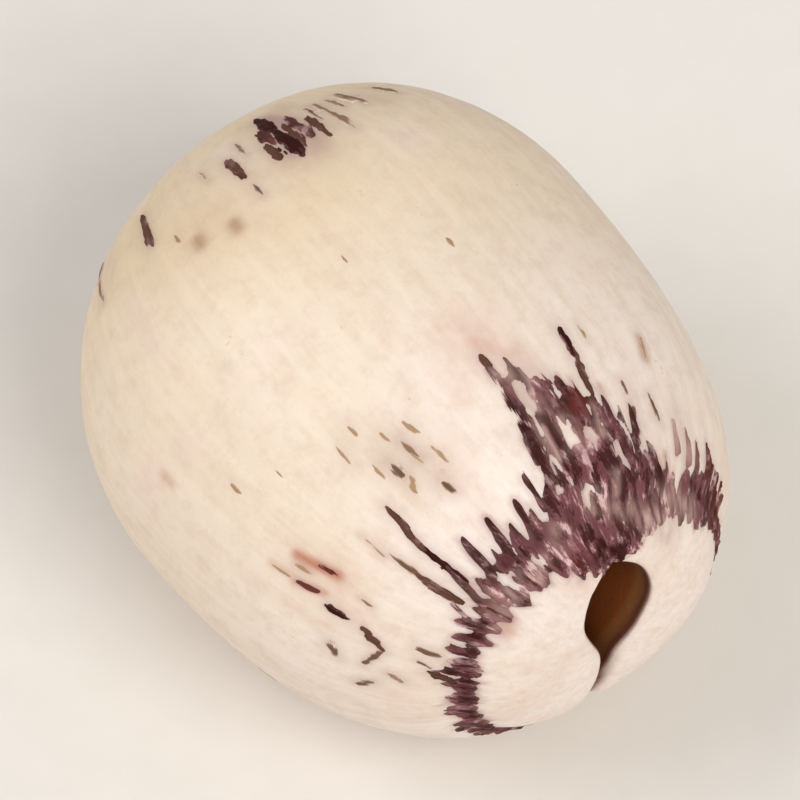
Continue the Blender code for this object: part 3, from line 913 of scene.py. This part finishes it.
# %% Shade the coat
DARK_MARKS = (
    (-1.2, 4, -0.7, 4.1, 0.34, 0.95), (-0.4, 4.9, 0.7, 5.3, 0.24, 0.7), (0.9, 5.5, 1.8, 6.15, 0.3, 0.8),
    (1.8, 6.15, 5.8, 6.65, 0.34, 0.75), (-21.8, 5.5, -20.6, 6.6, 0.26, 0.8),
    (-29.4, 6.7, -35, 7.35, 0.3, 0.85), (-5.2, 6.1, -5.6, 6.4, 0.26, 0.5), (5, 7.85, -9, 8.05, 0.3, 0.9),
    (4, 7.2, 4.5, 7.4, 0.3, 0.45), (39, 6.9, 43, 7.3, 0.3, 0.75), (31, 6.5, 34.5, 7.15, 0.26, 0.7),
    (23.4, 6.6, 26, 7.15, 0.26, 0.7), (14.8, 6.6, 17, 7.2, 0.26, 0.7), (56, 7.42, 72, 7.52, 0.36, 0.85),
    (72, 7.52, 92, 7.66, 0.36, 0.85), (-60.5, 6.8, -63, 7.2, 0.34, 1), (-63, 7.2, -84, 7.65, 0.3, 1),
    (-47.5, 7.3, -76.4, 7.75, 0.2, 0.8), (-16, 6.9, -17, 7.3, 0.22, 0.4), (-28, 6.1, -27, 6.9, 0.24, 0.5),
    (-10, 6.5, -10.5, 6.9, 0.24, 0.35), (93, 7.66, 175, 7.7, 0.3, 0.5), (-175, 7.7, -90, 7.68, 0.3, 0.5),
    (-47, 7.2, -48, 7.5, 0.24, 0.4), (50, 7.5, 59, 7.5, 0.3, 0.95), (0.2, 7.84, -8.6, 7.98, 0.34, 1),
    (39.9, 6.8, 40.8, 7.05, 0.3, 0.9), (66, 7.5, 85, 7.68, 0.4, 0.85), (-0.4, 4.5, -0.4, 5.25, 0.18, 0.5),
    (-0.4, 5.3, -5.4, 5.6, 0.16, 0.6), (-7.9, 5.05, -7.4, 5.4, 0.2, 0.7),
)
FILM_MARKS = (
    (-3, 4.3, -10, 4.6, 0.6, 0.75), (-3.6, 4.75, -5.4, 5.3, 0.5, 0.5), (-8.9, 5.8, -8.6, 6.3, 0.3, 0.6),
    (-17, 5.8, -17, 6.3, 0.24, 0.5), (-5.4, 7.1, -5.6, 7.4, 0.3, 0.6), (-26, 7.75, -38, 7.95, 0.5, 0.75),
    (-38, 7.5, -50, 7.7, 0.6, 0.55), (33, 7.4, 36, 7.6, 0.4, 0.5), (44, 7.45, 50, 7.65, 0.4, 0.4),
    (20, 7.5, 27, 7.7, 0.3, 0.5), (-43, 6.4, -44.5, 7.2, 0.3, 0.5), (-48.5, 6.4, -50, 7.2, 0.3, 0.5),
    (-12, 7.5, -20, 7.6, 0.4, 0.35), (10, 7.3, 14, 7.5, 0.4, 0.3), (41, 7.2, 44, 7.6, 0.5, 0.5),
    (-2.6, 5.75, -2.4, 6.35, 0.16, 0.7), (-1, 5.6, -0.2, 6.3, 0.12, 0.6), (-15.4, 7, -14.4, 7.3, 0.2, 0.6),
)
RUST_MARKS = (
    (-15.6, 5.3, -15.5, 5.8, 0.2, 0.6), (-10.2, 5.65, -14.5, 5.8, 0.2, 0.5), (-60.7, 7, -62, 7.3, 0.3, 0.5),
    (41, 7.15, 44, 7.55, 0.5, 0.35), (-60, 6.9, -84, 7.6, 0.7, 0.5), (-13.6, 5.4, -12.6, 5.75, 0.2, 0.6),
    (6, 7.8, 9, 7.85, 0.3, 0.5),
)

sheet_place = [np.concatenate(parts) for parts in zip(coat_place, under_place)]
sheet_grain = grain_of(*sheet_place)
patchy = np.clip(0.75 + 0.45 * ripples(sheet_grain, (0.35, 0.9), 18, seed=51), 0, 1.1)
thin_edge = 0.12 * smooth_step(0.1, 0.0, coat_cover(*sheet_place))
dark_teeth = [(*tooth[:4], 1.3 * tooth[4], 0.75) for tooth in TEETH if not -56 < tooth[0] < -40]
coat_attributes = {
    "grain": sheet_grain,
    "film": np.clip(marks(*sheet_place, FILM_MARKS) * patchy + thin_edge, 0, 0.9),
    "dark": np.clip(marks(*sheet_place, (*DARK_MARKS, *dark_teeth)) * patchy, 0, 1),
    "rust": np.clip(marks(*sheet_place, RUST_MARKS) * patchy, 0, 1),
}
coat_rings = np.concatenate([coat_top, coat_under])
coat_faces = ring_faces(len(coat_rings), COAT_COLUMNS, True)[:, ::-1]
coat_collar = mesh_object("coat_collar", coat_rings, coat_faces, coat_attributes, dry_coat)
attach(coat_collar, "root")
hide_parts("seed_coat")

# %% [markdown]
# Flecks as small sheets
#
# Each fleck is a small sheet of its own that dives under the flesh at a frayed border, closed below. It is
# darkest in its middle, where it is thickest. The faint ones are thinner, and fade to cream at their edge.

# %% Lay the flecks
FLECK_RINGS, FLECK_TOP = 26, 13
FLECK_SIDES = FLECK_TOP + 3
FLECK_HEIGHT = 0.045 * MM
FLECK_HIDDEN = 0.04 * MM
FLECK_UNDERSIDE = 0.09 * MM
print("a fleck's sheet has", FLECK_RINGS * FLECK_SIDES, "points")


def fleck_rings(fleck, seed):
    """Rings across the fleck from end to end: over its top, which dives at its frayed border, and below."""
    side, start, end_side, end, width, tone = fleck
    height = FLECK_HEIGHT * (0.4 if tone in FAINT_TONES else 1)
    share = np.linspace(-0.12, 1.12, FLECK_RINGS)[:, None]
    across = 0.75 * width * np.concatenate([np.linspace(-1, 1, FLECK_TOP), [0.6, 0, -0.6]])
    along = (start + (end - start) * share) * MM
    latitude = latitude_along(along)
    longitude = np.radians(side + (end_side - side) * share) + across * MM / profile(latitude)[1]
    latitude = np.broadcast_to(latitude, longitude.shape)
    points = grain_of(latitude, longitude)
    _, distance = from_line(latitude, longitude, fleck)
    fray = ripples(points, (0.2, 0.9), 20, seed) + 0.6 * ripples(points, (0.08, 0.24), 20, seed + 1)
    taper = np.clip(np.sin(np.pi * np.clip(share, 0, 1)), 0, 1) ** 0.5
    ragged = 0.18 if tone == "tan" else 0.13
    cover = 0.5 * width * (0.2 + 0.8 * taper) + ragged * width * fray - distance
    lift = -FLECK_HIDDEN + (height + FLECK_HIDDEN) * smooth_step(-0.025, 0.035, cover) * (1 + 0.1 * fray)
    lift[:, FLECK_TOP:] = -FLECK_UNDERSIDE
    core = smooth_step(-0.15 * width, 0.2 * width, cover)
    bare = 1 - smooth_step(0, 0.3 * width, cover) if tone in FAINT_TONES else np.zeros(core.shape)
    return surface(latitude, longitude, lift), latitude, longitude, core, bare


fleck_parts, fleck_faces = [], []
tan_flecks = [(*shred, "tan") for shred in SHREDS]
for number, fleck in enumerate(FLECKS + hidden_flecks() + tan_flecks):
    points, latitude, longitude, core, bare = fleck_rings(fleck, seed=200 + 2 * number)
    first = number * FLECK_RINGS * FLECK_SIDES
    last = first + (FLECK_RINGS - 1) * FLECK_SIDES
    fleck_faces += (ring_faces(FLECK_RINGS, FLECK_SIDES, False) + first).tolist()
    fleck_faces.append(list(range(first + FLECK_SIDES - 1, first - 1, -1)))
    fleck_faces.append(list(range(last, last + FLECK_SIDES)))
    tones = np.array(TONES[fleck[-1]])
    fleck_parts.append((points, latitude, longitude, core[..., None] * tones, bare))

# %% Make the flecks
fleck_points, fleck_latitude, fleck_longitude, fleck_tones, fleck_bare = (
    np.concatenate(parts) for parts in zip(*fleck_parts))
fleck_attributes = {"grain": grain_of(fleck_latitude, fleck_longitude), "bare": fleck_bare}
for part, key in enumerate(("film", "dark", "rust", "tan")):
    fleck_attributes[key] = fleck_tones[..., part]
coat_flecks = mesh_object("coat_flecks", fleck_points, fleck_faces, fleck_attributes, dry_coat)
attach(coat_flecks, "root")

# %% [markdown]
# The floor
#
# The seed lies alone on a plain pale floor. The floor is a wide disc, so that its edge stays out of sight,
# with a matt, faintly uneven finish like heavy drawing paper.

# %% Lay the floor
FLOOR_RADIUS = 0.9
FLOOR_CORNERS = 96
BOARD_SHADE, BOARD_LIGHT = "#e6e2db", "#ece8e2"


def floor_material():
    material, tree, shader = new_finish("pale_matt_board")
    place = add(tree, "TexCoord").outputs["Object"]
    tooth = add(tree, "TexNoise", {"Vector": place, "Scale": 900.0, "Detail": 3.0}).outputs["Fac"]
    tree.links.new(tinted(tree, tooth, BOARD_SHADE, BOARD_LIGHT), shader.inputs["Base Color"])
    shader.inputs["Roughness"].default_value = 0.85
    return material


rim = np.linspace(0, 2 * np.pi, FLOOR_CORNERS, endpoint=False)
floor_mesh = bpy.data.meshes.new("floor")
floor_points = np.stack([FLOOR_RADIUS * np.cos(rim), FLOOR_RADIUS * np.sin(rim), 0 * rim], axis=-1)
floor_mesh.from_pydata(floor_points.tolist(), [], [list(range(FLOOR_CORNERS))])
floor_mesh.materials.append(floor_material())
floor = linked("floor", floor_mesh)
print("the floor is", 2 * FLOOR_RADIUS, "m across")

# %% [markdown]
# The camera
#
# The seed was seen from above its right-hand side, tip towards the viewer. A long lens from 0.6 m keeps the
# outline as it would look from there. The frame is 16.67 mm wide at the seed, so a millimetre is 48 pixels
# of 800.

# %% Aim the camera
AZIMUTH, ELEVATION = np.radians(53.35), np.radians(58.2)
DISTANCE = 0.6
FRAME_WIDTH = 16.67 * MM
AIM_RIGHT, AIM_UP = 0.742 * MM, -0.552 * MM
SENSOR = 36.0

back = Vector((
    np.sin(AZIMUTH) * np.cos(ELEVATION), -np.cos(AZIMUTH) * np.cos(ELEVATION), np.sin(ELEVATION)))
right = Vector((np.cos(AZIMUTH), np.sin(AZIMUTH), 0))
up = back.cross(right)
aim = Vector(SHIFT) + right * AIM_RIGHT + up * AIM_UP
camera_data = bpy.data.cameras.new("camera")
camera_data.sensor_width = SENSOR
camera_data.lens = SENSOR * DISTANCE / FRAME_WIDTH
camera_data.clip_start, camera_data.clip_end = 0.01, 10
camera = linked("camera", camera_data)
turned = Matrix((right, up, back)).transposed().to_4x4()
camera.matrix_world = Matrix.Translation(aim + back * DISTANCE) @ turned
bpy.context.scene.camera = camera
print("the lens is", round(camera_data.lens), "mm long")

# %% [markdown]
# Soft studio light
#
# A large soft key from beside the viewer, low and a little to the right, a weaker fill from the upper left
# and an even pale room give the flat, bright look of food on a light table. The seed gets a little darker
# towards its base, and only a soft shadow lies where it meets the floor.


# %% Light the seed
LAMP_DISTANCE = 0.5
ROOM_WHITE, ROOM_STRENGTH = "#f8f6f3", 0.5


def soft_light(name, direction, size, power, tint):
    data = bpy.data.lights.new(name, "AREA")
    data.shape = "DISK"
    data.size = size
    data.energy = power
    data.color = colour(tint)[:3]
    lamp = linked(name, data)
    lamp.location = aim + direction.normalized() * LAMP_DISTANCE
    lamp.rotation_mode = "QUATERNION"
    lamp.rotation_quaternion = direction.to_track_quat("Z", "Y")


soft_light("key", back + right * 0.4 - up * 0.1, 0.3, 1.28, "#fffdfa")
soft_light("fill", back - right * 1.0 + up * 0.5, 0.35, 0.85, "#fbfaff")
world = bpy.data.worlds.new("room")
world.use_nodes = True
sky = world.node_tree.nodes["Background"]
sky.inputs["Color"].default_value = colour(ROOM_WHITE)
sky.inputs["Strength"].default_value = ROOM_STRENGTH
bpy.context.scene.world = world
bpy.context.scene.view_settings.view_transform = "Standard"
